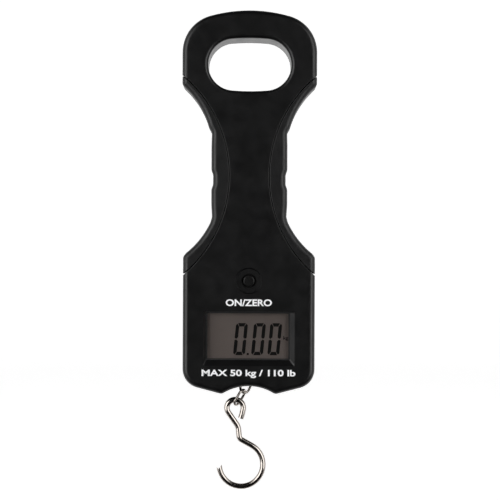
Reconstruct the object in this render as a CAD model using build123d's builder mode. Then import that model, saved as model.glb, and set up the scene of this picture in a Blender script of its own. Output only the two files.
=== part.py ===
from build123d import *
from math import cos, radians, sin, sqrt
import os

# Digital fish scale, millimetres. The origin is the centre of the finger hole, at mid-depth.
# +Z points up along the body, the display faces -Y, and +X is to the right of the display.

os.makedirs("parts", exist_ok=True)


def save(piece, name):
    """Label a finished piece and write it as one STEP file."""
    piece.label = name
    export_step(piece, f"parts/{name}.step")


# ---------------------------------------------------------------- driving dimensions
half_depth = 12.0
edge_round = 2.8
wall = 2.0
fit_gap = 0.1

# outline of the case, right half: head, waist, body and the arch between the two bottom lobes
crown_z = 28.4
crown_end = (20.8, 25.5)
crown_radius = 76.0
head_side = 35.1
head_corner_z = 6.5
head_base_z = -10.6
head_flare_centre = (64.5, -44.7)
head_flare_radius = 44.9
head_flare_span = (-12.6, -32.6)
waist_side = 19.8
waist_end_side = 19.4
waist_top_z = -35.5
waist_full_top_z = -42.0
waist_full_bottom_z = -73.0
waist_bottom_z = -79.3
notch_top_z = -55.0
notch_bottom_z = -65.0
notch_side = 18.9
notch_slope = 2.5
body_flare_centre = (61.1, -62.9)
body_flare_radius = 45.2
body_flare_span = (-82.2, -98.3)
body_side = 34.4
body_top_z = -100.2
body_corner_radius = 10.0
body_corner_z = -158.6
body_corner_turn = 74.0
lobe_tip = (13.9, -171.7)
arch_top_z = -167.5
arch_radius = 25.0
corner_round = 3.0
waist_round = 4.0

# overlaid side grips, bounded by one circular groove on each side
groove_centre = (78.0, -57.9)
groove_radius = 67.6
groove_gap = 0.35
groove_round = 0.35
grip_thickness = 2.2
grip_bed_gap = 0.05

# the room inside the case: deep under the plain skin, shallower under the grips
head_room_z = 8.2
head_room_width = 62.0
head_room_height = 32.6
head_room_corner = 14.0
neck_room_z = -60.0
neck_room_width = 15.0
neck_room_height = 96.0
body_room_top_z = -104.0
body_room_top_side = 26.0
body_room_side = 31.8
body_room_shoulder_z = -113.0
body_room_corner_z = -158.0
body_room_foot_side = 24.0
body_room_foot_z = -165.3
grip_room_top_z = -10.0
grip_room_wide_side = 25.0
grip_room_side = 15.0
grip_room_waist_top_z = -34.0
grip_room_waist_bottom_z = -88.0
grip_room_bottom_z = -106.0

# finger hole, an oval made of four arcs
hole_half_width = 21.6
hole_half_height = 13.8
hole_flat_radius = 110.0
hole_rim_round = 2.0

# display window and its sloped surround
view_width = 43.8
view_height = 25.1
view_x = -0.5
view_z = -141.2
view_corner = 0.5
bezel_width = 47.5
bezel_height = 28.3
bezel_x = 0.15
bezel_z = -142.7
bezel_depth = 1.9
bezel_corner = 0.8
bezel_backing = 1.0
front_wall = 2.4
pane_width = 46.0
pane_height = 26.9
pane_thickness = 1.2
lcd_width = 44.0
lcd_height = 25.9
lcd_thickness = 1.1
lcd_y = -7.7
frame_width = 47.0
frame_height = 28.5
strip_width = 38.6
strip_height = 2.0
strip_rise = 1.0

# start button and the switch behind it
button_z = -112.6
dish_radius = 6.95
dish_depth = 0.8
dish_taper = 40.0
button_hole_radius = 3.85
button_radius = 2.9
button_face_y = -11.5
flange_radius = 4.7
flange_y = -9.9
flange_thickness = 0.8
button_rim_round = 0.5
plunger_radius = 1.65
plunger_length = 1.8
switch_size = 6.0
switch_bore_depth = 1.6
switch_face_y = -8.0

# circuit board, with the load cell behind it
board_y = -5.6
board_thickness = 1.2
board_width = 50.0
board_top_z = -107.5
board_bottom_z = -160.5
board_corner = 1.0
board_screw_x = 22.5
board_screw_z = (-110.0, -158.2)
board_screw_radius = 0.8
board_screw_reach = 4.5
board_screw_head_radius = 1.6
board_screw_head_height = 0.6
board_post_radius = 2.2
board_pilot_y = -9.5
chip_z = -121.0
chip_radius = 4.0
chip_height = 1.4
chip_taper = 25.0
component_x = (-15.0, -11.5, 11.5, 15.0)
component_z = (-118.0, -121.0, -124.0)
component_size = (2.0, 1.2)
component_height = 0.6

# battery bay, opening through the back
cell_radius = 5.2
cell_length = 43.3
cell_y = 5.3
cell_z = (-112.0, -122.8)
bay_half_width = 24.0
bay_top_z = -106.4
bay_bottom_z = -128.4
bay_wall = 1.2
door_thickness = 1.4
door_margin = 1.2
door_gap = 0.25
door_seat_gap = 0.1
door_corner = 1.5
latch_dip_size = (12.0, 5.0)
latch_dip_depth = 1.1
latch_rib_size = (12.0, 0.7)
latch_rib_spacing = 1.6
latch_rib_depth = 0.5
latch_rib_rise = 4.4
cell_button_radius = 1.9
cell_button_height = 0.8
contact_size = (8.0, 8.4)
contact_thickness = 0.4
spring_wire = 0.3
spring_turns = 3
spring_base_radius = 3.4
spring_taper = 0.4
spring_end_gap = 0.05

# load cell, its hanger and the chain
load_z = -133.4
load_height = 20.0
load_half_width = 14.0
load_half_depth = 3.8
cut_height = 1.2
cut_shift = 3.5
cut_offset = 3.2
window_length = 9.0
window_height = 3.0
thread_depth = 5.6
gauge_x = 8.5
gauge_size = (4.0, 2.6)
gauge_thickness = 0.15
hanger_thickness = 1.6
hanger_plate_y = 4.4
hanger_half_width = 24.0
hanger_tab_width = 20.0
hanger_screw_x = 20.0
hanger_screw_z = (-137.0, -150.0)
hanger_screw_reach = 4.6
hanger_screw_head_height = 1.2
hanger_pilot_depth = 3.2
hanger_post_radius = 2.4
load_screw_head_radius = 3.0
load_screw_head_height = 1.2
load_screw_reach = 6.6
stud_radius = 1.75
nut_height = 1.8
nut_half_width = 3.5
stud_engagement = 5.4
slot_half_width = 7.5
slot_half_depth = 4.6
slot_height = 8.0
link_wire = 0.66
link_width = 5.3
link_length = 9.0
link_gap = 0.12
ring_low_z = -165.2
upper_link_lean = 25.7
upper_link_twist = -30.0
lower_link_lean = 30.0
lower_link_twist = 60.0
eye_ring_radius = 3.0
eye_ring_wire = 1.0
eye_ring_gap = 0.35
hook_wire = 1.5
hook_eye_radius = 4.3
hook_eye_gap = 0.5
hook_eye_lean = 6.0
hook_end_radius = 21.0
hook_end_turn = 14.0
hook_throat_length = 7.5
hook_neck_radius = 6.0
hook_shank_drop = 3.5
hook_shoulder_radius = 2.5
hook_shoulder_turn = 55.0
hook_diagonal_length = 6.1
hook_bowl_radius = 11.5
hook_bowl_turn = 241.5
hook_point_angle = 35.0

# screws
case_screw_places = [(27.7, 1.0), (28.5, -114.5), (28.5, -156.0)]
screw_radius = 1.1
screw_clear = 0.03
screw_head_radius = 2.2
screw_head_height = 1.6
screw_cross_length = 2.6
screw_cross_width = 0.6
screw_cross_corner = 0.1
screw_cross_depth = 0.6
case_screw_reach = 12.5
case_pilot_depth = 8.5
passage_clear = 0.2
boss_radius = 2.8
seat_y = 5.0


# ---------------------------------------------------------------- shared planes and outlines
def depth_plane(y):
    """Plane at depth y whose local axes are the body's X and Z; a negative extrusion goes backwards."""
    return Plane(origin=(0, y, 0), x_dir=(1, 0, 0), z_dir=(0, -1, 0))


def flare_point(centre, radius, z):
    """Point at height z on the inner side of a flare's circle."""
    return (centre[0] - sqrt(radius**2 - (z - centre[1]) ** 2), z)


def mirrored(places):
    """Each place and its mirror image across the centre line."""
    return places + [(-x, z) for x, z in places]


with BuildSketch() as outline:
    with BuildLine():
        crown = RadiusArc((0, crown_z), crown_end, crown_radius)
        TangentArc(crown_end, (head_side, head_corner_z), tangent=crown % 1)
        head_flare = [flare_point(head_flare_centre, head_flare_radius, z) for z in head_flare_span]
        body_flare = [flare_point(body_flare_centre, body_flare_radius, z) for z in body_flare_span]
        Polyline((head_side, head_corner_z), (head_side, head_base_z), head_flare[0])
        RadiusArc(head_flare[0], head_flare[1], -head_flare_radius)
        Polyline(
            head_flare[1],
            (waist_end_side + 0.2, waist_top_z),
            (waist_side, waist_full_top_z),
            (waist_side, notch_top_z),
            (notch_side, notch_top_z - notch_slope),
            (notch_side, notch_bottom_z + notch_slope),
            (waist_side, notch_bottom_z),
            (waist_side, waist_full_bottom_z),
            (waist_end_side, waist_bottom_z),
            body_flare[0],
        )
        RadiusArc(body_flare[0], body_flare[1], -body_flare_radius)
        Polyline(body_flare[1], (body_side, body_top_z), (body_side, body_corner_z))
        foot = JernArc((body_side, body_corner_z), (0, -1), body_corner_radius, -body_corner_turn)
        Line(foot @ 1, lobe_tip)
        RadiusArc(lobe_tip, (0, arch_top_z), -arch_radius)
        Line((0, arch_top_z), (0, crown_z))
    make_face()
    mirror(about=Plane.YZ)
    corners = [corner for corner in outline.vertices() if abs(corner.X) > 1]
    head_feet = [corner for corner in corners if abs(corner.X) > 30 and -20 < corner.Y < 0]
    shoulders = [corner for corner in corners if abs(corner.X) > 30 and abs(corner.Y - body_top_z) < 3]
    lobes = [corner for corner in corners if corner.Y < lobe_tip[1] + 1]
    fillet(head_feet + shoulders + lobes, corner_round)
    waist = [
        corner for corner in outline.vertices() if waist_bottom_z - 4 < corner.Y < waist_top_z + 4
    ]
    fillet(waist, waist_round)

# the end arcs' radius follows from their being tangent to the flat arcs
hole_end_radius = (2 * hole_flat_radius * hole_half_height - hole_half_width**2 - hole_half_height**2) / (
    2 * (hole_flat_radius - hole_half_width)
)
with BuildSketch() as hole_outline:
    with BuildLine():
        end_x = hole_half_width - hole_end_radius
        meet = end_x * hole_flat_radius / (hole_flat_radius - hole_end_radius)
        meet_z = sqrt(hole_end_radius**2 - (meet - end_x) ** 2)
        RadiusArc((0, hole_half_height), (meet, meet_z), hole_flat_radius)
        ThreePointArc((meet, meet_z), (hole_half_width, 0), (meet, -meet_z))
        RadiusArc((meet, -meet_z), (0, -hole_half_height), hole_flat_radius)
        Line((0, -hole_half_height), (0, hole_half_height))
    make_face()
    mirror(about=Plane.YZ)

with BuildPart() as envelope:
    with BuildSketch(depth_plane(-half_depth)):
        add(outline.sketch)
    extrude(amount=-2 * half_depth)
    fillet(envelope.faces().filter_by(Axis.Y).edges(), edge_round)
    with BuildSketch(depth_plane(-half_depth)):
        add(hole_outline.sketch)
    extrude(amount=-2 * half_depth, mode=Mode.SUBTRACT)
    hole_rims = [
        edge
        for edge in envelope.faces().filter_by(Axis.Y).edges()
        if abs(edge.center().X) < hole_half_width and abs(edge.center().Z) < hole_half_height + 1
    ]
    fillet(hole_rims, hole_rim_round)


# ---------------------------------------------------------------- solids that divide the envelope
with BuildPart() as grip_zones:
    with BuildSketch(depth_plane(-half_depth)):
        with Locations(groove_centre, (-groove_centre[0], groove_centre[1])):
            Circle(groove_radius - groove_gap / 2)
    extrude(amount=-2 * half_depth)

with BuildPart() as groove_zones:
    with BuildSketch(depth_plane(-half_depth)):
        with Locations(groove_centre, (-groove_centre[0], groove_centre[1])):
            Circle(groove_radius + groove_gap / 2)
    extrude(amount=-2 * half_depth)


def inset_solid(inset):
    """The outline shrunk by an inset, extruded to the case's depth less the same inset."""
    with BuildPart() as solid:
        with BuildSketch(depth_plane(inset - half_depth)):
            offset(outline.sketch, amount=-inset, kind=Kind.INTERSECTION)
        extrude(amount=-2 * (half_depth - inset))
    return solid.part


core_half_depth = half_depth - grip_thickness
core = inset_solid(grip_thickness)
grip_inside = inset_solid(grip_thickness - grip_bed_gap)

deep_half = half_depth - wall
core_half = core_half_depth - wall
with BuildPart() as cavity:
    with BuildSketch(depth_plane(-deep_half)):
        with Locations((0, head_room_z)):
            RectangleRounded(head_room_width, head_room_height, head_room_corner)
        with BuildLine():
            Polyline(
                (0, body_room_top_z),
                (body_room_top_side, body_room_top_z),
                (body_room_side, body_room_shoulder_z),
                (body_room_side, body_room_corner_z),
                (body_room_foot_side, body_room_foot_z),
                (0, body_room_foot_z),
                close=True,
            )
        make_face()
        mirror(about=Plane.YZ)
        with Locations((0, neck_room_z)):
            Rectangle(neck_room_width, neck_room_height)
    extrude(amount=-2 * deep_half)
    with BuildSketch(depth_plane(-core_half)):
        with BuildLine():
            Polyline(
                (0, grip_room_top_z),
                (grip_room_wide_side, grip_room_top_z),
                (grip_room_side, grip_room_waist_top_z),
                (grip_room_side, grip_room_waist_bottom_z),
                (grip_room_wide_side, grip_room_bottom_z),
                (0, grip_room_bottom_z),
                close=True,
            )
        make_face()
        mirror(about=Plane.YZ)
    extrude(amount=-2 * core_half)
    with BuildSketch(depth_plane(-half_depth)):
        offset(hole_outline.sketch, amount=wall)
    extrude(amount=-2 * half_depth, mode=Mode.SUBTRACT)

with BuildPart() as chain_slot:
    with BuildSketch(Plane.XY.offset(arch_top_z + slot_height / 2)):
        SlotOverall(2 * slot_half_width, 2 * slot_half_depth)
    extrude(amount=-slot_height)


def groove_rim(solid, radius):
    """Edges where a groove wall of this radius meets the outer skin."""
    rim = []
    for edge in solid.edges():
        middle = edge @ 0.5
        run = sqrt((abs(middle.X) - groove_centre[0]) ** 2 + (middle.Z - groove_centre[1]) ** 2)
        on_skin = abs(middle.Y) > core_half_depth + grip_bed_gap + 0.1 or abs(middle.X) > head_side - 1.0
        if abs(run - radius) < 0.03 and on_skin:
            rim.append(edge)
    return rim


def body_shell(front):
    """The plain case with the grips' beds sunk into it, cut at mid-depth and hollowed."""
    with BuildPart() as shell:
        add(envelope.part)
        add(groove_zones.part, mode=Mode.SUBTRACT)
        with BuildPart(mode=Mode.PRIVATE) as inner:
            add(core)
            add(envelope.part, mode=Mode.INTERSECT)
        add(inner.part)
        add(cavity.part, mode=Mode.SUBTRACT)
        add(chain_slot.part, mode=Mode.SUBTRACT)
        split(bisect_by=Plane.XZ, keep=Keep.TOP if front else Keep.BOTTOM)
        fillet(groove_rim(shell, groove_radius + groove_gap / 2), groove_round)
    return shell.part


# ---------------------------------------------------------------- front case
boss_places = mirrored(case_screw_places)
board_places = [(x, z) for x in (-board_screw_x, board_screw_x) for z in board_screw_z]

with BuildPart() as front_case:
    add(body_shell(front=True))
    with BuildSketch(depth_plane(-deep_half)):
        with Locations(boss_places):
            Circle(boss_radius)
    extrude(amount=-deep_half)
    with BuildSketch(depth_plane(-deep_half)):
        with Locations(board_places):
            Circle(board_post_radius)
    extrude(amount=-(deep_half + board_y - fit_gap))
    # the wall around the display is thicker, so that its slope has depth
    with BuildSketch(depth_plane(-deep_half)):
        with Locations((bezel_x, bezel_z)):
            Rectangle(bezel_width + 2 * bezel_backing, bezel_height + 2 * bezel_backing)
    extrude(amount=-(front_wall - wall))
    with BuildSketch(depth_plane(-half_depth)):
        with Locations((bezel_x, bezel_z)):
            RectangleRounded(bezel_width, bezel_height, bezel_corner)
    with BuildSketch(depth_plane(-half_depth + bezel_depth)):
        with Locations((view_x, view_z)):
            RectangleRounded(view_width, view_height, view_corner)
    loft(mode=Mode.SUBTRACT)
    with BuildSketch(depth_plane(-half_depth)):
        with Locations((view_x, view_z)):
            RectangleRounded(view_width, view_height, view_corner)
    extrude(amount=-4.0, mode=Mode.SUBTRACT)
    # shallow dish around the start button and the button's hole
    with BuildSketch(depth_plane(-half_depth)):
        with Locations((0, button_z)):
            Circle(dish_radius)
    extrude(amount=-dish_depth, taper=dish_taper, mode=Mode.SUBTRACT)
    with BuildSketch(depth_plane(-half_depth)):
        with Locations((0, button_z)):
            Circle(button_hole_radius)
    extrude(amount=-4.0, mode=Mode.SUBTRACT)
    # pilot holes for the case screws and the board screws
    with BuildSketch(depth_plane(-case_pilot_depth)):
        with Locations(boss_places):
            Circle(screw_radius + screw_clear)
    extrude(amount=-case_pilot_depth, mode=Mode.SUBTRACT)
    with BuildSketch(depth_plane(board_pilot_y)):
        with Locations(board_places):
            Circle(board_screw_radius + screw_clear)
    extrude(amount=board_pilot_y - board_y, mode=Mode.SUBTRACT)
save(front_case.part, "front_case")


# ---------------------------------------------------------------- rear case with the battery bay
hanger_places = [(x, z) for x in (-hanger_screw_x, hanger_screw_x) for z in hanger_screw_z]
bay_mid_z = (bay_top_z + bay_bottom_z) / 2
bay_height = bay_top_z - bay_bottom_z
door_width = 2 * (bay_half_width + door_margin)
door_height = bay_height + 2 * door_margin

with BuildPart() as rear_case:
    add(body_shell(front=False))
    with BuildSketch(depth_plane(0)):
        with Locations(boss_places):
            Circle(boss_radius)
    extrude(amount=-deep_half)
    hanger_back_y = hanger_plate_y + hanger_thickness
    with BuildSketch(depth_plane(hanger_back_y)):
        with Locations(hanger_places):
            Circle(hanger_post_radius)
    extrude(amount=-(deep_half - hanger_back_y))
    with BuildSketch(depth_plane(-bay_wall)):
        with Locations((0, bay_mid_z)):
            Rectangle(2 * (bay_half_width + bay_wall), bay_height + 2 * bay_wall)
    extrude(amount=-(deep_half + bay_wall))
    with BuildSketch(depth_plane(0)):
        with Locations((0, bay_mid_z)):
            Rectangle(2 * bay_half_width, bay_height)
    extrude(amount=-half_depth, mode=Mode.SUBTRACT)
    # recess that the door lies in, and the finger dip at its lower edge
    with BuildSketch(depth_plane(half_depth - door_thickness)):
        with Locations((0, bay_mid_z)):
            RectangleRounded(door_width, door_height, door_corner)
    extrude(amount=-door_thickness, mode=Mode.SUBTRACT)
    with BuildSketch(depth_plane(half_depth - latch_dip_depth)):
        with Locations((0, bay_mid_z - door_height / 2)):
            SlotOverall(*latch_dip_size)
    extrude(amount=-latch_dip_depth, mode=Mode.SUBTRACT)
    # holes and seats for the case screws, entered from the back
    with BuildSketch(depth_plane(0)):
        with Locations(boss_places):
            Circle(screw_radius + passage_clear)
    extrude(amount=-half_depth, mode=Mode.SUBTRACT)
    with BuildSketch(depth_plane(seat_y)):
        with Locations(boss_places):
            Circle(screw_head_radius + passage_clear)
    extrude(amount=-half_depth, mode=Mode.SUBTRACT)
    with BuildSketch(depth_plane(hanger_back_y)):
        with Locations(hanger_places):
            Circle(screw_radius + screw_clear)
    extrude(amount=-hanger_pilot_depth, mode=Mode.SUBTRACT)
save(rear_case.part, "rear_case")


# ---------------------------------------------------------------- side grips
for side_name, keep_side in (("left_grip", Keep.BOTTOM), ("right_grip", Keep.TOP)):
    with BuildPart() as grip:
        add(envelope.part)
        add(grip_zones.part, mode=Mode.INTERSECT)
        add(grip_inside, mode=Mode.SUBTRACT)
        split(bisect_by=Plane.YZ, keep=keep_side)
        fillet(groove_rim(grip, groove_radius - groove_gap / 2), groove_round)
    save(grip.part, side_name)


# ---------------------------------------------------------------- display
pane_y = -half_depth + front_wall
with BuildPart() as display_window:
    with BuildSketch(depth_plane(pane_y)):
        with Locations((view_x, view_z)):
            RectangleRounded(pane_width, pane_height, bezel_corner)
    extrude(amount=-pane_thickness)
save(display_window.part, "display_window")

with BuildPart() as lcd_panel:
    with BuildSketch(depth_plane(lcd_y)):
        with Locations((view_x, view_z)):
            Rectangle(lcd_width, lcd_height)
    extrude(amount=-lcd_thickness)
save(lcd_panel.part, "lcd_panel")

with BuildPart() as lcd_frame:
    frame_front_y = pane_y + pane_thickness
    with BuildSketch(depth_plane(frame_front_y)):
        with Locations((view_x, view_z)):
            Rectangle(frame_width, frame_height)
            Rectangle(lcd_width + 2 * fit_gap, lcd_height + 2 * fit_gap, mode=Mode.SUBTRACT)
    extrude(amount=-(board_y - frame_front_y))
save(lcd_frame.part, "lcd_frame")

with BuildPart() as zebra_strip:
    with BuildSketch(depth_plane(lcd_y + lcd_thickness)):
        with Locations((view_x, view_z - view_height / 2 + strip_rise)):
            Rectangle(strip_width, strip_height)
    extrude(amount=-(board_y - lcd_y - lcd_thickness))
save(zebra_strip.part, "zebra_strip")


# ---------------------------------------------------------------- circuit board and what it carries
board_back_y = board_y + board_thickness
board_mid_z = (board_top_z + board_bottom_z) / 2
with BuildPart() as circuit_board:
    with BuildSketch(depth_plane(board_y)):
        with Locations((0, board_mid_z)):
            RectangleRounded(board_width, board_top_z - board_bottom_z, board_corner)
        with Locations(board_places):
            Circle(board_screw_radius + screw_clear, mode=Mode.SUBTRACT)
    extrude(amount=-board_thickness)
save(circuit_board.part, "circuit_board")

with BuildPart() as board_screws:
    with BuildSketch(depth_plane(board_back_y)):
        with Locations(board_places):
            Circle(board_screw_head_radius)
    extrude(amount=-board_screw_head_height)
    with BuildSketch(depth_plane(board_back_y)):
        with Locations(board_places):
            Circle(board_screw_radius)
    extrude(amount=board_screw_reach)
save(board_screws.part, "board_screws")

with BuildPart() as chip_cover:
    with BuildSketch(depth_plane(board_y)):
        with Locations((0, chip_z)):
            Circle(chip_radius)
    extrude(amount=chip_height, taper=chip_taper)
save(chip_cover.part, "chip_cover")

with BuildPart() as board_components:
    with BuildSketch(depth_plane(board_y)):
        with Locations([(x, z) for x in component_x for z in component_z]):
            Rectangle(*component_size)
    extrude(amount=component_height)
save(board_components.part, "board_components")

with BuildPart() as tact_switch:
    with BuildSketch(depth_plane(board_y)):
        with Locations((0, button_z)):
            Rectangle(switch_size, switch_size)
    extrude(amount=board_y - switch_face_y)
    with BuildSketch(depth_plane(switch_face_y)):
        with Locations((0, button_z)):
            Circle(plunger_radius + fit_gap)
    extrude(amount=-switch_bore_depth, mode=Mode.SUBTRACT)
save(tact_switch.part, "tact_switch")

with BuildPart() as switch_plunger:
    with BuildSketch(depth_plane(flange_y + flange_thickness)):
        with Locations((0, button_z)):
            Circle(plunger_radius)
    extrude(amount=-plunger_length)
save(switch_plunger.part, "switch_plunger")

with BuildPart() as start_button:
    with BuildSketch(depth_plane(flange_y)):
        with Locations((0, button_z)):
            Circle(flange_radius)
    extrude(amount=-flange_thickness)
    with BuildSketch(depth_plane(flange_y)):
        with Locations((0, button_z)):
            Circle(button_radius)
    extrude(amount=flange_y - button_face_y)
    fillet(start_button.edges().sort_by(Axis.Y)[0], button_rim_round)
save(start_button.part, "start_button")


# ---------------------------------------------------------------- batteries, contacts and door
def battery(z, positive_side):
    """One cylindrical cell lying along X, with its raised contact on the given side."""
    body_length = cell_length - cell_button_height
    with BuildPart() as cell:
        with BuildSketch(Plane.YZ.offset(-body_length / 2)):
            with Locations((cell_y, z)):
                Circle(cell_radius)
        extrude(amount=body_length)
        with BuildSketch(Plane.YZ.offset(positive_side * body_length / 2)):
            with Locations((cell_y, z)):
                Circle(cell_button_radius)
        extrude(amount=positive_side * cell_button_height)
    return cell.part


save(battery(cell_z[0], 1), "battery_upper")
save(battery(cell_z[1], -1), "battery_lower")

with BuildPart() as contact_plates:
    for side in (-1, 1):
        with BuildSketch(Plane.YZ.offset(side * bay_half_width)):
            with Locations((cell_y, cell_z[0]), (cell_y, cell_z[1])):
                Rectangle(*contact_size)
        extrude(amount=-side * contact_thickness)
save(contact_plates.part, "contact_plates")

# each spring is drawn as its turns, from the wide one on the contact to the small one on the cell
with BuildPart() as battery_springs:
    for side, z in ((-1, cell_z[0]), (1, cell_z[1])):
        spring_start = side * (bay_half_width - contact_thickness - spring_wire)
        spring_end = side * ((cell_length - cell_button_height) / 2 + spring_wire + spring_end_gap)
        for turn in range(spring_turns):
            place = spring_start + (spring_end - spring_start) * turn / (spring_turns - 1)
            with BuildSketch(Plane.XY.offset(z)):
                with Locations((place, cell_y + spring_base_radius - spring_taper * turn)):
                    Circle(spring_wire)
            revolve(axis=Axis((place, cell_y, z), (1, 0, 0)), revolution_arc=360)
save(battery_springs.part, "battery_springs")

with BuildPart() as battery_door:
    with BuildSketch(depth_plane(half_depth - door_thickness + door_seat_gap)):
        with Locations((0, bay_mid_z)):
            RectangleRounded(door_width - 2 * door_gap, door_height - 2 * door_gap, door_corner - door_gap)
    extrude(amount=-(door_thickness - door_seat_gap))
    # ribs across the latch, where a thumb presses
    with BuildSketch(depth_plane(half_depth)):
        with GridLocations(0, latch_rib_spacing, 1, 3):
            with Locations((0, bay_mid_z - door_height / 2 + latch_rib_rise)):
                Rectangle(*latch_rib_size)
    extrude(amount=latch_rib_depth, mode=Mode.SUBTRACT)
save(battery_door.part, "battery_door")


# ---------------------------------------------------------------- load cell and hanger
load_bottom_z = load_z - load_height
load_mid_z = load_z - load_height / 2
with BuildPart() as load_cell:
    with BuildSketch(depth_plane(-load_half_depth)):
        with Locations((0, load_mid_z)):
            Rectangle(2 * load_half_width, load_height)
        with Locations((-cut_shift, load_mid_z + cut_offset), (cut_shift, load_mid_z - cut_offset)):
            Rectangle(2 * (load_half_width - cut_shift), cut_height, mode=Mode.SUBTRACT)
        with Locations((0, load_mid_z)):
            SlotOverall(window_length, window_height, mode=Mode.SUBTRACT)
    extrude(amount=-2 * load_half_depth)
    with BuildSketch(Plane.XY.offset(load_z)):
        Circle(stud_radius + screw_clear)
    extrude(amount=-thread_depth, mode=Mode.SUBTRACT)
    with BuildSketch(Plane.XY.offset(load_bottom_z)):
        Circle(stud_radius + screw_clear)
    extrude(amount=thread_depth, mode=Mode.SUBTRACT)
save(load_cell.part, "load_cell")

with BuildPart() as strain_gauges:
    with BuildSketch(depth_plane(-load_half_depth)):
        with Locations((-gauge_x, load_mid_z), (gauge_x, load_mid_z)):
            Rectangle(*gauge_size)
    extrude(amount=gauge_thickness)
    with BuildSketch(depth_plane(load_half_depth)):
        with Locations((-gauge_x, load_mid_z), (gauge_x, load_mid_z)):
            Rectangle(*gauge_size)
    extrude(amount=-gauge_thickness)
save(strain_gauges.part, "strain_gauges")

hanger_top_z = load_z + hanger_thickness
hanger_bottom_z = load_bottom_z + 1.0
with BuildPart() as load_hanger:
    with BuildSketch(depth_plane(hanger_plate_y)):
        with Locations((0, (hanger_top_z + hanger_bottom_z) / 2)):
            Rectangle(2 * hanger_half_width, hanger_top_z - hanger_bottom_z)
        with Locations(hanger_places):
            Circle(screw_radius + screw_clear, mode=Mode.SUBTRACT)
    extrude(amount=-hanger_thickness)
    with BuildSketch(Plane.XY.offset(load_z)):
        with Locations((0, (hanger_back_y - load_half_depth) / 2)):
            Rectangle(hanger_tab_width, hanger_back_y + load_half_depth)
        Circle(stud_radius + passage_clear, mode=Mode.SUBTRACT)
    extrude(amount=hanger_thickness)
save(load_hanger.part, "load_hanger")

with BuildPart() as hanger_screws:
    with BuildSketch(depth_plane(hanger_plate_y)):
        with Locations(hanger_places):
            Circle(screw_head_radius)
    extrude(amount=hanger_screw_head_height)
    with BuildSketch(depth_plane(hanger_plate_y)):
        with Locations(hanger_places):
            Circle(screw_radius)
    extrude(amount=-hanger_screw_reach)
save(hanger_screws.part, "hanger_screws")

with BuildPart() as load_screw:
    with BuildSketch(Plane.XY.offset(hanger_top_z)):
        Circle(load_screw_head_radius)
    extrude(amount=load_screw_head_height)
    with BuildSketch(Plane.XY.offset(hanger_top_z)):
        Circle(stud_radius)
    extrude(amount=-load_screw_reach)
save(load_screw.part, "load_screw")

with BuildPart() as case_screws:
    with BuildSketch(depth_plane(seat_y)):
        with Locations(boss_places):
            Circle(screw_head_radius)
            RectangleRounded(screw_cross_length, screw_cross_width, screw_cross_corner, mode=Mode.SUBTRACT)
            RectangleRounded(screw_cross_width, screw_cross_length, screw_cross_corner, mode=Mode.SUBTRACT)
    extrude(amount=-screw_head_height)
    with BuildSketch(depth_plane(seat_y + screw_cross_depth)):
        with Locations(boss_places):
            Circle(screw_radius)
    extrude(amount=case_screw_reach)
save(case_screws.part, "case_screws")


# ---------------------------------------------------------------- wiring
def wire(points, bend, radius):
    """A round wire along straight runs joined by tangent bends."""
    with BuildPart() as piece:
        with BuildLine() as path:
            FilletPolyline(*points, radius=bend)
        with BuildSketch(path.line ^ 0):
            Circle(radius)
        sweep()
    return piece.part


wire_radius = 0.4
cell_wire_x = 17.0
cell_wire_bend = 1.4
cell_wire_spacing = 1.6
cell_wire_count = 4
with BuildPart() as cell_wires:
    for row in range(cell_wire_count):
        z = load_mid_z + cell_wire_spacing * (row - (cell_wire_count - 1) / 2)
        corner = (cell_wire_x, 0, z)
        run = [(cell_wire_x, board_back_y, z), corner, (load_half_width, 0, z)]
        add(wire(run, cell_wire_bend, wire_radius))
save(cell_wires.part, "cell_wires")

battery_wire_y = -2.8
battery_wire_step = 3.0
battery_wire_bend = 0.7
with BuildPart() as battery_wires:
    for side in (-1, 1):
        x = side * (bay_half_width - 1.0)
        low_z = bay_mid_z - battery_wire_step
        run = [
            (x, board_back_y, low_z),
            (x, battery_wire_y, low_z),
            (x, battery_wire_y, bay_mid_z),
            (x, -bay_wall, bay_mid_z),
        ]
        add(wire(run, battery_wire_bend, wire_radius))
save(battery_wires.part, "battery_wires")


# ---------------------------------------------------------------- chain: eye bolt, links and hook
def lean_down(lean):
    """Unit vector pointing down a piece that leans towards -X by an angle in degrees."""
    return Vector(-sin(radians(lean)), 0, -cos(radians(lean)))


def chain_link(top, lean, twist):
    """A closed oval link of round wire; top is the middle of its upper bend."""
    down = lean_down(lean)
    across = Vector(cos(radians(lean)), 0, -sin(radians(lean)))
    width_dir = across * cos(radians(twist)) + Vector(0, 1, 0) * sin(radians(twist))
    link_plane = Plane(origin=top, x_dir=width_dir, z_dir=width_dir.cross(down * -1))
    half_width = link_width / 2
    with BuildPart() as link:
        with BuildLine(link_plane) as path:
            ThreePointArc((-half_width, -half_width), (0, 0), (half_width, -half_width))
            Line((half_width, -half_width), (half_width, half_width - link_length))
            ThreePointArc(
                (half_width, half_width - link_length),
                (0, -link_length),
                (-half_width, half_width - link_length),
            )
            Line((-half_width, half_width - link_length), (-half_width, -half_width))
        with BuildSketch(Plane(origin=path.wires()[0] @ 0, z_dir=path.wires()[0] % 0)):
            Circle(link_wire)
        sweep(path=path.wires()[0])
    return link.part


upper_down = lean_down(upper_link_lean)
lower_down = lean_down(lower_link_lean)
ring_low = Vector(0, 0, ring_low_z)
upper_top = ring_low - upper_down * (link_wire + eye_ring_wire + eye_ring_gap)
upper_low = upper_top + upper_down * link_length
lower_top = upper_low - lower_down * (2 * link_wire + link_gap)
lower_low = lower_top + lower_down * link_length
ring_centre = ring_low + Vector(0, 0, eye_ring_radius)
ring_top_z = ring_centre.Z + eye_ring_radius

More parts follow.
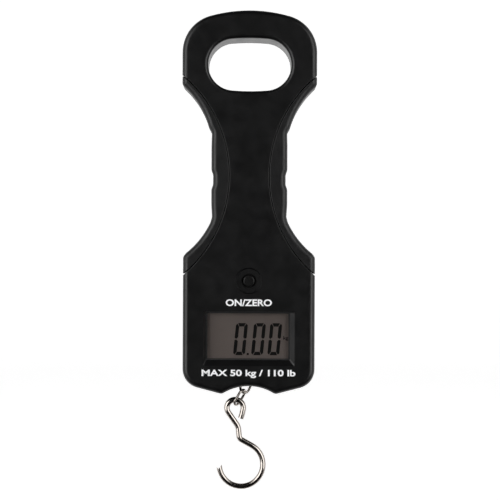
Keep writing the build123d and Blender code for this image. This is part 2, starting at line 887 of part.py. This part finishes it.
nut_bottom_z = load_bottom_z - nut_height
with BuildPart() as eye_bolt:
    with Locations(Plane(origin=ring_centre, z_dir=(1, 0, 0))):
        Torus(eye_ring_radius, eye_ring_wire)
    with BuildSketch(Plane.XY.offset(ring_top_z)):
        Circle(stud_radius)
    extrude(amount=load_bottom_z + stud_engagement - ring_top_z)
save(eye_bolt.part, "eye_bolt")

with BuildPart() as eye_bolt_nut:
    with BuildSketch(Plane.XY.offset(nut_bottom_z)):
        RegularPolygon(nut_half_width, 6, major_radius=False)
        Circle(stud_radius + screw_clear, mode=Mode.SUBTRACT)
    extrude(amount=nut_height)
save(eye_bolt_nut.part, "eye_bolt_nut")

save(chain_link(upper_top, upper_link_lean, upper_link_twist), "upper_link")
save(chain_link(lower_top, lower_link_lean, lower_link_twist), "lower_link")

# the hook is one bent wire: open eye, shank, shoulder bend, bowl and tapered tip
eye_drop = hook_eye_radius - hook_wire - link_wire - hook_eye_gap
eye_centre = lower_low + lean_down(hook_eye_lean) * eye_drop
cut_end_angle = -8.0
eye_left_angle = 215.0
neck_turn = -29.0
with BuildPart() as hook:
    with BuildLine(Plane(origin=eye_centre, x_dir=(1, 0, 0), z_dir=(0, -1, 0))) as path:
        eye = CenterArc((0, 0), hook_eye_radius, cut_end_angle, eye_left_angle - cut_end_angle)
        JernArc(eye @ 0, eye % 0 * -1, hook_end_radius, -hook_end_turn)
        throat = PolarLine(eye @ 1, hook_throat_length, direction=eye % 1)
        neck = JernArc(throat @ 1, throat % 1, hook_neck_radius, neck_turn)
        shank = PolarLine(neck @ 1, hook_shank_drop, direction=neck % 1)
        shoulder = JernArc(shank @ 1, shank % 1, hook_shoulder_radius, hook_shoulder_turn)
        diagonal = PolarLine(shoulder @ 1, hook_diagonal_length, direction=shoulder % 1)
        bowl = JernArc(diagonal @ 1, diagonal % 1, hook_bowl_radius, -hook_bowl_turn)
    hook_path = path.wires()[0]
    with BuildSketch(Plane(origin=hook_path @ 0, z_dir=hook_path % 0)):
        Circle(hook_wire)
    sweep(path=hook_path)
    # the point is cut obliquely from the outer side, leaving its tip on the inner side
    inward = Vector(0, 1, 0).cross(bowl % 1)
    tip = bowl @ 1 + inward * hook_wire
    bevel_face = (bowl % 1) * sin(radians(hook_point_angle)) - inward * cos(radians(hook_point_angle))
    with Locations(Plane(origin=tip, x_dir=(0, 1, 0), z_dir=bevel_face)):
        Box(
            4 * hook_wire,
            4 * hook_wire,
            4 * hook_wire,
            align=(Align.CENTER, Align.CENTER, Align.MIN),
            mode=Mode.SUBTRACT,
        )
save(hook.part, "hook")
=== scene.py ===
import bpy
import bmesh
import math
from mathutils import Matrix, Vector


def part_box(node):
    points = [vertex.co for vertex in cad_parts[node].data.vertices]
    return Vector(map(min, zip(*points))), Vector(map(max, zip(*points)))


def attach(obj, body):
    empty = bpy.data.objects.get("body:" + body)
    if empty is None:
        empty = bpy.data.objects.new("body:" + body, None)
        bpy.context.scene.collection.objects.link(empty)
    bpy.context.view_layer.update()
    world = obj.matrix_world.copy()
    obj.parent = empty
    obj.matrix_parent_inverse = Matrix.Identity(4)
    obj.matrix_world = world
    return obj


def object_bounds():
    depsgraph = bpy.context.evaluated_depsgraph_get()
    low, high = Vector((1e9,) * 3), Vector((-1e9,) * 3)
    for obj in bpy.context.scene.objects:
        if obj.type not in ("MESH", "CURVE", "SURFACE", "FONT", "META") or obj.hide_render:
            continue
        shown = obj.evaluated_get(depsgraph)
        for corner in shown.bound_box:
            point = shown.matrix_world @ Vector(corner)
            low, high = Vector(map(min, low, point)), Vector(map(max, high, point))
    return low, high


# Digital fish scale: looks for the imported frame. Metres; the display faces -Y and +Z is up.

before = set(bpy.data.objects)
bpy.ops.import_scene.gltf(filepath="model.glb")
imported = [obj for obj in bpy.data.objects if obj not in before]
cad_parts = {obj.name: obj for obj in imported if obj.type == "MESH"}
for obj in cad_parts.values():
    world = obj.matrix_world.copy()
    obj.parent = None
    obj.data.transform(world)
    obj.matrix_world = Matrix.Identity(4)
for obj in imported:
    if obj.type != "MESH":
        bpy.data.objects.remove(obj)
cad_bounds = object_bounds()

MM = 0.001

# ---------------------------------------------------------------- places taken from the frame
# box gives the low and the high corner; the low Y is the face towards the camera
CASE_FRONT_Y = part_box("front_case")[0][1]
PANE_FRONT_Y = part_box("display_window")[0][1]
LCD_FRONT_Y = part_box("lcd_panel")[0][1]
WHOLE_MID_Z = (cad_bounds[0][2] + cad_bounds[1][2]) / 2


# ---------------------------------------------------------------- node helpers
# most of a noise texture's values lie between these two, so shades and numbers run between them
NOISE_LOW = 0.3
NOISE_HIGH = 0.7


def new_material(name):
    """A new material, its node tree and the Principled shader that the tree starts with."""
    material = bpy.data.materials.new(name)
    material.use_nodes = True
    return material, material.node_tree, material.node_tree.nodes["Principled BSDF"]


def noise(tree, scale, detail=4.0, rough=0.5):
    """Noise over object coordinates; scale is in repeats per metre."""
    place = tree.nodes.new("ShaderNodeTexCoord")
    texture = tree.nodes.new("ShaderNodeTexNoise")
    texture.inputs["Scale"].default_value = scale
    texture.inputs["Detail"].default_value = detail
    texture.inputs["Roughness"].default_value = rough
    tree.links.new(place.outputs["Object"], texture.inputs["Vector"])
    return texture.outputs["Fac"]


def ramp(tree, source, low, high):
    """Colour between two colours as the source goes from NOISE_LOW to NOISE_HIGH."""
    node = tree.nodes.new("ShaderNodeValToRGB")
    node.color_ramp.elements[0].position = NOISE_LOW
    node.color_ramp.elements[0].color = (*low, 1)
    node.color_ramp.elements[1].position = NOISE_HIGH
    node.color_ramp.elements[1].color = (*high, 1)
    tree.links.new(source, node.inputs["Fac"])
    return node.outputs["Color"]


def spread(tree, source, low, high):
    """Number between low and high as the source goes from NOISE_LOW to NOISE_HIGH."""
    node = tree.nodes.new("ShaderNodeMapRange")
    node.inputs["From Min"].default_value = NOISE_LOW
    node.inputs["From Max"].default_value = NOISE_HIGH
    node.inputs["To Min"].default_value = low
    node.inputs["To Max"].default_value = high
    tree.links.new(source, node.inputs["Value"])
    return node.outputs["Result"]


def bump(tree, shader, source, depth, strength):
    """Surface relief of the given depth in metres, at a strength from 0 to 1."""
    node = tree.nodes.new("ShaderNodeBump")
    node.inputs["Distance"].default_value = depth
    node.inputs["Strength"].default_value = strength
    tree.links.new(source, node.inputs["Height"])
    tree.links.new(node.outputs["Normal"], shader.inputs["Normal"])


# ---------------------------------------------------------------- materials
def moulded_plastic(name, low, high, rough, specular, grain=5200.0):
    """Spark-textured moulded plastic: fine grain, slight change of shade and gloss."""
    gloss_change = 0.05
    material, tree, shader = new_material(name)
    shade = noise(tree, scale=60.0, detail=3.0)
    tree.links.new(ramp(tree, shade, low, high), shader.inputs["Base Color"])
    patch = noise(tree, scale=140.0, detail=5.0, rough=0.6)
    tree.links.new(spread(tree, patch, rough - gloss_change, rough + gloss_change),
                   shader.inputs["Roughness"])
    shader.inputs["Specular IOR Level"].default_value = specular
    bump(tree, shader, noise(tree, grain, detail=2.0, rough=0.6), depth=0.00002, strength=0.6)
    return material


def metal(name, low, high, rough, scratch=900.0, relief=0.000004, stretch=(1.0, 1.0, 1.0)):
    """Plated or milled metal with fine marks; a stretch above 1 packs them closer on that axis."""
    material, tree, shader = new_material(name)
    shader.inputs["Metallic"].default_value = 1.0
    place = tree.nodes.new("ShaderNodeTexCoord")
    mapping = tree.nodes.new("ShaderNodeMapping")
    mapping.inputs["Scale"].default_value = stretch
    tree.links.new(place.outputs["Object"], mapping.inputs["Vector"])
    marks = tree.nodes.new("ShaderNodeTexNoise")
    marks.inputs["Scale"].default_value = scratch
    marks.inputs["Detail"].default_value = 6.0
    tree.links.new(mapping.outputs["Vector"], marks.inputs["Vector"])
    tree.links.new(ramp(tree, noise(tree, scale=220.0), low, high), shader.inputs["Base Color"])
    tree.links.new(spread(tree, marks.outputs["Fac"], rough * 0.6, rough * 1.5),
                   shader.inputs["Roughness"])
    bump(tree, shader, marks.outputs["Fac"], relief, strength=0.5)
    return material


def clear_pane(name):
    """Thin clear acrylic, slightly tinted, with a polished face."""
    material, tree, shader = new_material(name)
    shader.inputs["Alpha"].default_value = 0.08
    shader.inputs["Specular IOR Level"].default_value = 0.5
    tint = ramp(tree, noise(tree, scale=90.0), low=(0.010, 0.010, 0.010), high=(0.016, 0.016, 0.016))
    tree.links.new(tint, shader.inputs["Base Color"])
    tree.links.new(spread(tree, noise(tree, scale=800.0), low=0.03, high=0.06),
                   shader.inputs["Roughness"])
    return material


def plain(name, low, high, rough, scale=400.0, relief=0.00001):
    """Print and small parts: two shades with a slight grain, finer than the shades."""
    grain_per_shade = 6
    material, tree, shader = new_material(name)
    tree.links.new(ramp(tree, noise(tree, scale), low, high), shader.inputs["Base Color"])
    shader.inputs["Roughness"].default_value = rough
    bump(tree, shader, noise(tree, scale * grain_per_shade), relief, strength=0.4)
    return material


BLACK_CASE = moulded_plastic(
    "black_case_plastic", (0.0026, 0.0026, 0.0027), (0.0036, 0.0036, 0.0038), 0.34, specular=0.35)
BLACK_GRIP = moulded_plastic(
    "black_grip_rubber", (0.0038, 0.0038, 0.0039), (0.0050, 0.0050, 0.0052), 0.4, specular=0.35,
    grain=4200.0)
BLACK_BUTTON = moulded_plastic(
    "black_button_plastic", (0.003, 0.003, 0.003), (0.004, 0.004, 0.004), 0.32, specular=0.3)
CLEAR = clear_pane("clear_acrylic")
LCD_FACE = plain("lcd_polariser", (0.082, 0.064, 0.056), (0.090, 0.071, 0.062), 0.55, scale=60.0)
LCD_SEGMENT = plain("lcd_segment", (0.0006, 0.0006, 0.0006), (0.0010, 0.0010, 0.0010), 0.7)
# the segments are dark inside the display, so they hardly shine
LCD_SEGMENT.node_tree.nodes["Principled BSDF"].inputs["Specular IOR Level"].default_value = 0.1
BORDER_BLACK = plain(
    "window_dark_band", (0.0008, 0.0008, 0.0008), (0.0014, 0.0014, 0.0014), 0.6, scale=900.0)
PRINT_WHITE = plain(
    "white_print", (0.86, 0.87, 0.88), (0.92, 0.92, 0.93), 0.5, scale=1800.0, relief=0.000004)
NICKEL = metal("nickel_plate", (0.33, 0.30, 0.275), (0.42, 0.385, 0.355), 0.16)
ZINC = metal("zinc_plate", (0.40, 0.40, 0.41), (0.50, 0.50, 0.51), 0.28)
ALUMINIUM = metal(
    "milled_aluminium", (0.72, 0.73, 0.74), (0.80, 0.81, 0.82), 0.3, scratch=700.0, relief=0.00001,
    stretch=(1, 1, 9))
WHITE_PLASTIC = plain("white_plastic", (0.68, 0.68, 0.65), (0.76, 0.76, 0.73), 0.45)
STRIP_RUBBER = plain(
    "striped_rubber", (0.02, 0.02, 0.02), (0.35, 0.32, 0.30), 0.7, scale=3000.0)
BOARD_GREEN = plain("board_green", (0.012, 0.12, 0.045), (0.02, 0.17, 0.07), 0.3, scale=250.0)
RESIN = plain("black_resin", (0.008, 0.008, 0.008), (0.014, 0.014, 0.014), 0.18)
CERAMIC_CHIP = plain("chip_body", (0.16, 0.12, 0.09), (0.30, 0.24, 0.18), 0.4, scale=900.0)
SLEEVE = plain("cell_sleeve", (0.035, 0.06, 0.14), (0.045, 0.08, 0.18), 0.25, scale=120.0)
FOIL = plain("gauge_foil", (0.42, 0.20, 0.06), (0.55, 0.28, 0.09), 0.35, scale=1500.0)
RED_WIRE = plain("red_insulation", (0.42, 0.03, 0.02), (0.52, 0.05, 0.03), 0.4)

FINISH = {
    BLACK_CASE: ("front_case", "rear_case", "battery_door"),
    BLACK_GRIP: ("left_grip", "right_grip"),
    BLACK_BUTTON: ("start_button", "switch_plunger"),
    CLEAR: ("display_window",),
    LCD_FACE: ("lcd_panel",),
    WHITE_PLASTIC: ("lcd_frame",),
    STRIP_RUBBER: ("zebra_strip",),
    BOARD_GREEN: ("circuit_board",),
    RESIN: ("chip_cover",),
    CERAMIC_CHIP: ("board_components",),
    ZINC: ("tact_switch", "board_screws", "hanger_screws", "load_screw", "case_screws",
           "load_hanger", "eye_bolt", "eye_bolt_nut"),
    ALUMINIUM: ("load_cell",),
    FOIL: ("strain_gauges",),
    RED_WIRE: ("cell_wires", "battery_wires"),
    SLEEVE: ("battery_upper", "battery_lower"),
    NICKEL: ("contact_plates", "battery_springs", "upper_link", "lower_link", "hook"),
}
FINISH_OF = {node_name: material for material, names in FINISH.items() for node_name in names}
for node_name, node_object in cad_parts.items():
    node_object.data.materials.clear()
    node_object.data.materials.append(FINISH_OF[node_name])


# ---------------------------------------------------------------- pieces made here
def piece_from(name, make, material, body):
    """A mesh piece built by make(bm), with its material, riding on a body."""
    mesh = bpy.data.meshes.new(name)
    bm = bmesh.new()
    make(bm)
    bmesh.ops.recalc_face_normals(bm, faces=bm.faces)
    bm.to_mesh(mesh)
    bm.free()
    piece = bpy.data.objects.new(name, mesh)
    bpy.context.scene.collection.objects.link(piece)
    mesh.materials.append(material)
    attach(piece, body)


def plate(bm, outline, front_y, back_y):
    """A thin flat solid: an outline of (x, z) points between two values of Y."""
    front = [bm.verts.new((x, front_y, z)) for x, z in outline]
    back = [bm.verts.new((x, back_y, z)) for x, z in outline]
    bm.faces.new(front)
    bm.faces.new(list(reversed(back)))
    count = len(outline)
    for i in range(count):
        j = (i + 1) % count
        bm.faces.new((front[i], back[i], back[j], front[j]))


# the display's reading: each digit is a zero, drawn with six of a digit's seven segments
DIGIT_WIDTH = 6.2 * MM
DIGIT_HEIGHT = 16.7 * MM
STROKE = 1.75 * MM
SEGMENT_GAP = 0.14 * MM
SLANT = math.tan(math.radians(5.4))
DIGITS_LEFT = (-8.15 * MM, 1.25 * MM, 9.75 * MM)
DIGITS_BOTTOM = -151.4 * MM
POINT_SIZE = 1.1 * MM
POINT_LEFT = -1.0 * MM
INK_FRONT = LCD_FRONT_Y - 0.06 * MM
INK_BACK = LCD_FRONT_Y + 0.02 * MM


def zero_outlines():
    """Outlines of a zero's six segments, from the digit's lower left corner, before slanting."""
    w, h, s, g = DIGIT_WIDTH, DIGIT_HEIGHT, STROKE, SEGMENT_GAP
    middle = h / 2
    half = s / 2
    cut = s * 0.55  # taken off an outer corner
    elbow_in, elbow_down = s * 0.75, s * 0.4  # where the end of a bar bends
    shoulder = cut * 0.8  # how far the top of an upright leans in
    heel = half * 0.6  # rise of an upright's outer edge from the middle
    top = [(cut + g, h), (w - cut - g, h), (w - elbow_in - g, h - elbow_down), (w - s - g, h - s),
           (s + g, h - s), (elbow_in + g, h - elbow_down)]
    bottom = [(x, h - z) for x, z in reversed(top)]
    upper_left = [(0, h - cut - g), (shoulder, h - g * 2), (s, h - s - g), (s, middle + half + g),
                  (half, middle + g), (0, middle + heel + g)]
    lower_left = [(x, h - z) for x, z in reversed(upper_left)]
    upper_right = [(w - x, z) for x, z in reversed(upper_left)]
    lower_right = [(w - x, h - z) for x, z in upper_left]
    return top, upper_right, lower_right, bottom, lower_left, upper_left


def rectangle(left, right, bottom, top):
    """Outline of an upright rectangle, for plate."""
    return [(left, bottom), (right, bottom), (right, top), (left, top)]


def lcd_digits(bm):
    """The reading 0.00 with its decimal point."""
    for left in DIGITS_LEFT:
        for outline in zero_outlines():
            plate(bm, [(left + x + z * SLANT, DIGITS_BOTTOM + z) for x, z in outline],
                  INK_FRONT, INK_BACK)
    plate(bm, rectangle(POINT_LEFT, POINT_LEFT + POINT_SIZE,
                        DIGITS_BOTTOM, DIGITS_BOTTOM + POINT_SIZE),
          INK_FRONT, INK_BACK)


piece_from("lcd_digits", lcd_digits, LCD_SEGMENT, "case")

# thin black band on the front of the pane, round the part of the display that shows;
# each set of edges is left, right, bottom and top
BORDER_OUTER = (-22.8 * MM, 21.8 * MM, -154.2 * MM, -128.2 * MM)
BORDER_INNER = (-21.5 * MM, 20.7 * MM, -153.0 * MM, -129.5 * MM)
BORDER_FRONT = PANE_FRONT_Y - 0.03 * MM
BORDER_BACK = PANE_FRONT_Y + 0.02 * MM


def window_border(bm):
    """Four thin strips between the border's outer and inner edges."""
    outer_left, outer_right, outer_bottom, outer_top = BORDER_OUTER
    inner_left, inner_right, inner_bottom, inner_top = BORDER_INNER
    for edges in (
        (outer_left, inner_left, outer_bottom, outer_top),
        (inner_right, outer_right, outer_bottom, outer_top),
        (inner_left, inner_right, outer_bottom, inner_bottom),
        (inner_left, inner_right, inner_top, outer_top),
    ):
        plate(bm, rectangle(*edges), BORDER_FRONT, BORDER_BACK)


piece_from("window_border", window_border, BORDER_BLACK, "case")


def printed_text(name, words, width, height, centre, front_y, material, thicken):
    """Lettering as a flat mesh facing -Y, scaled to a width and a height and centred at (x, z)."""
    curve = bpy.data.curves.new(name + "_curve", "FONT")
    curve.body = words
    curve.align_x = "CENTER"
    curve.size = 1.0
    curve.offset = thicken
    curve.resolution_u = 6
    source = bpy.data.objects.new(name + "_source", curve)
    bpy.context.scene.collection.objects.link(source)
    bpy.context.view_layer.update()
    evaluated = source.evaluated_get(bpy.context.evaluated_depsgraph_get())
    mesh = bpy.data.meshes.new_from_object(evaluated)
    bpy.data.objects.remove(source)
    mesh.name = name
    xs = [v.co.x for v in mesh.vertices]
    ys = [v.co.y for v in mesh.vertices]
    wide, tall = max(xs) - min(xs), max(ys) - min(ys)
    mid_x = (max(xs) + min(xs)) / 2
    for vertex in mesh.vertices:
        x = (vertex.co.x - mid_x) / wide * width + centre[0]
        z = (vertex.co.y - min(ys)) / tall * height + centre[1] - height / 2
        vertex.co = (x, front_y, z)
    piece = bpy.data.objects.new(name, mesh)
    bpy.context.scene.collection.objects.link(piece)
    mesh.materials.clear()
    mesh.materials.append(material)
    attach(piece, "case")


PRINT_FRONT = CASE_FRONT_Y - 0.03 * MM
printed_text("button_label", "ON/ZERO", width=24 * MM, height=3.6 * MM, centre=(0, -123.9 * MM),
             front_y=PRINT_FRONT, material=PRINT_WHITE, thicken=0.03)
printed_text("capacity_label", "MAX 50 kg / 110 lb", width=48.8 * MM, height=4.4 * MM,
             centre=(0, -160.9 * MM), front_y=PRINT_FRONT, material=PRINT_WHITE, thicken=0.03)
printed_text("lcd_unit", "kg", width=2.6 * MM, height=2.4 * MM,
             centre=(19.4 * MM, -142.6 * MM), front_y=INK_FRONT, material=LCD_SEGMENT, thicken=0.02)


# ---------------------------------------------------------------- stage, light and camera
def stage_material(name, grey, glow):
    """Pale backdrop that glows evenly, so that it reads as one plain sheet."""
    material, _, shader = new_material(name)
    shader.inputs["Base Color"].default_value = (grey, grey, grey, 1)
    shader.inputs["Roughness"].default_value = 0.9
    shader.inputs["Emission Color"].default_value = (1, 1, 1, 1)
    shader.inputs["Emission Strength"].default_value = glow
    return material


BACKDROP = stage_material("backdrop_white", grey=0.9, glow=0.85)
FLOOR_Z = -0.32
FLOOR_RADIUS = 2.0
BEND_RADIUS = 0.6
WALL_TOP = 3.0
BEND_STEPS = 12
TURN_STEPS = 24


def backdrop_part(name, first_turn, last_turn, reflects):
    """Part of a round pale room, between two turns about Z in degrees.

    Its floor curves up into its wall. It casts no shadow and gives no diffuse light, and glossy
    pieces show it only if it reflects.
    """
    profile = [(FLOOR_RADIUS, FLOOR_Z)]
    for i in range(1, BEND_STEPS + 1):
        angle = math.radians(90 * i / BEND_STEPS)
        profile.append((FLOOR_RADIUS + BEND_RADIUS * math.sin(angle),
                        FLOOR_Z + BEND_RADIUS * (1 - math.cos(angle))))
    profile.append((FLOOR_RADIUS + BEND_RADIUS, WALL_TOP))
    turn_range = last_turn - first_turn
    angles = [math.radians(first_turn + turn_range * i / TURN_STEPS) for i in range(TURN_STEPS + 1)]
    bm = bmesh.new()
    rows = [[bm.verts.new((r * math.cos(a), r * math.sin(a), z)) for a in angles] for r, z in profile]
    middle = bm.verts.new((0, 0, FLOOR_Z))
    for i in range(TURN_STEPS):
        bm.faces.new((middle, rows[0][i], rows[0][i + 1]))
        for low, high in zip(rows, rows[1:]):
            bm.faces.new((low[i], high[i], high[i + 1], low[i + 1]))
    mesh = bpy.data.meshes.new(name)
    bm.to_mesh(mesh)
    bm.free()
    mesh.polygons.foreach_set("use_smooth", [True] * len(mesh.polygons))
    mesh.materials.append(BACKDROP)
    backdrop = bpy.data.objects.new(name, mesh)
    bpy.context.scene.collection.objects.link(backdrop)
    backdrop.visible_diffuse = False
    backdrop.visible_glossy = reflects
    backdrop.visible_shadow = False


def area_light(name, place, target, size, power):
    """A soft white rectangular light at place, aimed at target."""
    lamp = bpy.data.lights.new(name, "AREA")
    lamp.shape = "RECTANGLE"
    lamp.size, lamp.size_y = size
    lamp.energy = power
    holder = bpy.data.objects.new(name, lamp)
    holder.location = place
    holder.rotation_euler = (Vector(target) - Vector(place)).to_track_quat("-Z", "Y").to_euler()
    bpy.context.scene.collection.objects.link(holder)


def set_world(dim, bright):
    """A light tent: dim in front of the object, brighter to the sides and behind."""
    dim_until = -0.95  # Y of a direction, -1 being straight towards the camera
    bright_from = -0.2
    world = bpy.data.worlds.new("studio")
    world.use_nodes = True
    tree = world.node_tree
    place = tree.nodes.new("ShaderNodeTexCoord")
    split = tree.nodes.new("ShaderNodeSeparateXYZ")
    tree.links.new(place.outputs["Generated"], split.inputs["Vector"])
    level = tree.nodes.new("ShaderNodeMapRange")
    level.inputs["From Min"].default_value = dim_until
    level.inputs["From Max"].default_value = bright_from
    level.inputs["To Min"].default_value = dim
    level.inputs["To Max"].default_value = bright
    tree.links.new(split.outputs["Y"], level.inputs["Value"])
    tree.links.new(level.outputs["Result"], tree.nodes["Background"].inputs["Strength"])
    bpy.context.scene.world = world


CAMERA_PLACE = (0.5 * MM, -0.850, -96.5 * MM)
CAMERA_ROLL = math.radians(0.25)
SENSOR_WIDTH = 36.0
# the picture is this wide at a plane this far from the camera, 9 mm in front of mid-depth
FRAMED_WIDTH = 0.26075
FRAMED_DISTANCE = 0.841


def set_camera():
    """Straight-on view at about the object's middle height, rolled a little."""
    camera = bpy.data.cameras.new("camera")
    camera.sensor_width = SENSOR_WIDTH
    camera.lens = SENSOR_WIDTH * FRAMED_DISTANCE / FRAMED_WIDTH
    holder = bpy.data.objects.new("camera", camera)
    holder.location = CAMERA_PLACE
    holder.rotation_euler = (math.radians(90), 0, 0)
    holder.rotation_euler.rotate_axis("Z", CAMERA_ROLL)
    bpy.context.scene.collection.objects.link(holder)
    bpy.context.scene.camera = holder


backdrop_part("backdrop_rear", first_turn=-10, last_turn=190, reflects=True)
# the camera's side is kept out of reflections, so that the front of the object stays dark
backdrop_part("backdrop_front", first_turn=190, last_turn=350, reflects=False)
set_world(dim=0.03, bright=0.5)
MIDDLE = (0, 0, WHOLE_MID_Z)
area_light("front_left", (-1.1, -1.1, 0.1), MIDDLE, size=(1.1, 1.5), power=22)
area_light("front_right", (1.1, -1.1, 0.1), MIDDLE, size=(1.1, 1.5), power=18)
set_camera()
bpy.context.scene.view_settings.view_transform = "Standard"
